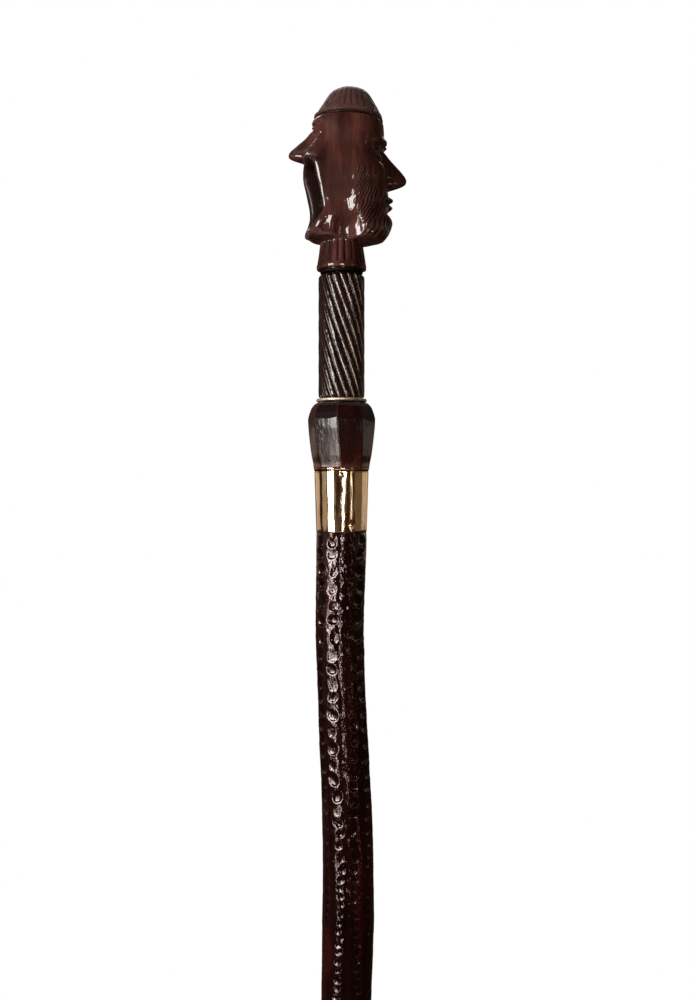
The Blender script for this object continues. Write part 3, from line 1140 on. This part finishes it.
def make_thread_bush(material):
    """Bush with its threaded bore; its thread follows the screw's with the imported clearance."""
    step, clear, wider = 0.0002, 0.0004, SCREW_CREST_HALF + 0.0003
    heights = np.arange(BUSH_FOOT, BUSH_TOP, step)[::-1]
    angles = around(72)
    bore = rings_of(thread_radii(heights, angles, wider, wider + SCREW_FLANK) + clear, heights, angles)
    flange = FLANGE_SEAT_RISE - GAP
    outline = np.array([(0.0094, 0.0), (0.0094, flange), (0.0079, flange),
                        (0.0079, BUSH_TOP - BUSH_FOOT - step)])
    outer = rings_of(outline[:, :1], BUSH_FOOT + outline[:, 1], angles)
    bush = tube("threaded_bush", np.concatenate([outer, bore]), True)
    bush.data.set_sharp_from_angle(angle=math.radians(35))
    mark_relief(bush, 3, 0.0005)
    dress(bush, material, "thread_bush", "head")


def make_ferrule(material):
    low, high = FERRULE_FOOT, FERRULE_TOP
    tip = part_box("heel")[1].x + GAP
    outline = [(tip - 0.0010, high), (tip - 0.0010, low), (tip, low), (FERRULE_RADIUS, high - 0.0004),
               (FERRULE_RADIUS, high)]
    ferrule = turned("brass_ferrule", rounded(outline, 0.0003), 96, True)
    mark_relief(ferrule, 2, 0.0002)
    dress(ferrule, material, "ferrule")


def make_heel(material):
    radius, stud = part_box("heel")[1].x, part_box("heel")[1].z
    thick, edge = FERRULE_FOOT - GAP, 0.0009
    profile = [(0.0020, 0.0)] + arc((radius - edge, edge), edge, -math.pi / 2, 0.0, 7)
    profile += [(radius, thick - 0.0003), (radius - 0.0003, thick), (0.0025, thick), (0.0025, stud)]
    heel = turned("steel_heel", profile, 72)
    heel.data.set_sharp_from_angle(angle=math.radians(35))
    mark_relief(heel, 2, 0.0003)
    dress(heel, material, "heel")


# Room, lights and camera

def make_floor():
    floor = tube("floor", rings_of(0.46, [-0.004, 0.0], around(96)))
    floor.data.materials.append(pale_floor())


def panel(name, degrees, wide_degrees, low, high, distance, radiance, colour=(1.0, 1.0, 1.0)):
    """An upright lit panel round the cane; 0 degrees is the camera's side and positive its right."""
    angle = math.radians(degrees)
    data = bpy.data.lights.new(name, "AREA")
    data.shape = "RECTANGLE"
    data.size = 2 * distance * math.tan(math.radians(wide_degrees) / 2)
    data.size_y = high - low
    data.energy = radiance * math.pi * data.size * data.size_y
    data.color = colour
    lamp = bpy.data.objects.new(name, data)
    bpy.context.scene.collection.objects.link(lamp)
    lamp.location = (distance * math.sin(angle), -distance * math.cos(angle), (low + high) / 2)
    lamp.rotation_euler = (math.pi / 2, 0, angle)
    return lamp


def make_lights():
    panel("key", -47, 22, 0.64, 1.13, 1.30, 20.0, (1.0, 0.985, 0.96))
    for degrees, wide, radiance in ((-38.0, 4.0, 26.0), (-42.5, 5.0, 9.5), (-48.0, 6.0, 5.5),
                                    (-54.5, 7.0, 3.2)):
        panel("low_key", degrees, wide, 0.30, 0.64, 1.30, radiance, (1.0, 0.84, 0.76))
    panel("foot_key", -40, 6, 0.00, 0.30, 1.30, 8.0, (1.0, 0.93, 0.90))
    panel("window", 7, 8, 0.58, 0.78, 1.60, 20.0, (1.0, 0.95, 0.92))
    panel("low_window", 3.5, 3, 0.22, 0.56, 1.60, 14.0, (1.0, 0.80, 0.74))
    panel("slit", 46, 3.5, 0.52, 1.00, 1.50, 2.6, (1.0, 0.88, 0.74))
    panel("right_card", 80, 36, 0.50, 0.76, 1.50, 0.14, (1.0, 0.76, 0.54))
    panel("glow", 51, 10, 0.08, 0.28, 1.50, 1.3, (1.0, 0.28, 0.18))
    panel("red_card", 141, 28, 0.61, 0.76, 1.40, 0.60, (1.0, 0.62, 0.46))
    panel("left_card", -80, 24, 0.58, 1.10, 1.40, 0.42, (1.0, 0.88, 0.76))
    panel("low_card", -80, 24, 0.20, 0.58, 1.40, 0.13, (1.0, 0.70, 0.60))
    panel("back_left", -130, 40, 0.60, 0.76, 1.40, 0.60, (1.0, 0.76, 0.62))
    panel("back_right", 112, 28, 0.60, 0.76, 1.40, 0.56, (1.0, 0.88, 0.76))
    back_fill = panel("back_fill", 180, 50, 0.0, 1.0, 1.50, 2.6, (1.0, 0.95, 0.90))
    back_fill.location = (0.0, 1.25, 2.05)
    back_fill.rotation_euler = (math.radians(48), 0, math.pi)
    overhead = panel("overhead", 180, 60, 0.0, 1.6, 1.50, 0.35)
    overhead.location = (0.0, 0.5, 2.3)
    overhead.rotation_euler = (math.radians(16), 0, 0)


def make_world():
    """White behind the cane to the camera; for everything else a dim warm room, lighter behind and above."""
    world = bpy.data.worlds.new("room")
    bpy.context.scene.world = world
    g = Graph(world)
    toward = g.add("TexCoord", "Generated", {})
    up, back = (g.span(g.add("SeparateXYZ", axis, {0: toward}), low, high, interpolation_type="SMOOTHSTEP")
                for axis, low, high in (("Z", -0.12, 0.04), ("Y", 0.10, 0.40)))
    raised = g.mix(up, (0.026, 0.013, 0.008), (0.085, 0.060, 0.048))
    room = g.mix(back, (0.036, 0.013, 0.005), raised)
    seen = g.add("LightPath", "Is Camera Ray", {})
    g.feed(g.nodes["Background"].inputs["Color"], g.mix(seen, room, (1.0, 1.0, 1.0)))


def make_camera():
    data = bpy.data.cameras.new("camera")
    camera = bpy.data.objects.new("camera", data)
    bpy.context.scene.collection.objects.link(camera)
    camera.location = CAMERA_PLACE
    camera.rotation_euler = (math.pi / 2, 0, 0)
    data.sensor_fit = "AUTO"
    data.sensor_width = 36.0
    data.lens = data.sensor_width * -CAMERA_PLACE[1] / PHOTO_SPAN
    data.clip_start, data.clip_end = 0.01, 50.0
    bpy.context.scene.camera = camera


def build():
    brass = polished_metal("polished_brass", (0.85, 0.71, 0.48), (0.67, 0.51, 0.29), 0.07, 0.12)
    pale_brass = polished_metal("dull_pale_brass", (0.92, 0.80, 0.64), (0.82, 0.68, 0.50), 0.44, 0.14)
    inner_brass = polished_metal("turned_brass", (0.66, 0.50, 0.27), (0.40, 0.26, 0.10), 0.22)
    steel = plain_metal("oiled_steel", (0.50, 0.49, 0.47), (0.20, 0.15, 0.12))
    iron = plain_metal("worn_iron", (0.30, 0.29, 0.28), (0.10, 0.07, 0.055))
    make_head()
    make_stick()
    make_brass_collar(brass)
    make_nails(brass)
    make_faceted_knop()
    make_pale_ring(pale_brass)
    make_twisted_grip()
    make_fine_screw(steel)
    make_thrust_pad(steel)
    make_thread_bush(inner_brass)
    make_ferrule(brass)
    make_heel(iron)
    for material, nodes in ((steel, ("core_rod", "screw_pin", "pad_rivet")),
                            (inner_brass, ("bush_pin_left", "bush_pin_right")),
                            (dark_horn(), ("seat_washer",))):
        for node in nodes:
            paint_node(node, material)
    make_floor()
    make_lights()
    make_world()
    make_camera()
    bpy.context.scene.view_settings.view_transform = "Standard"


build()
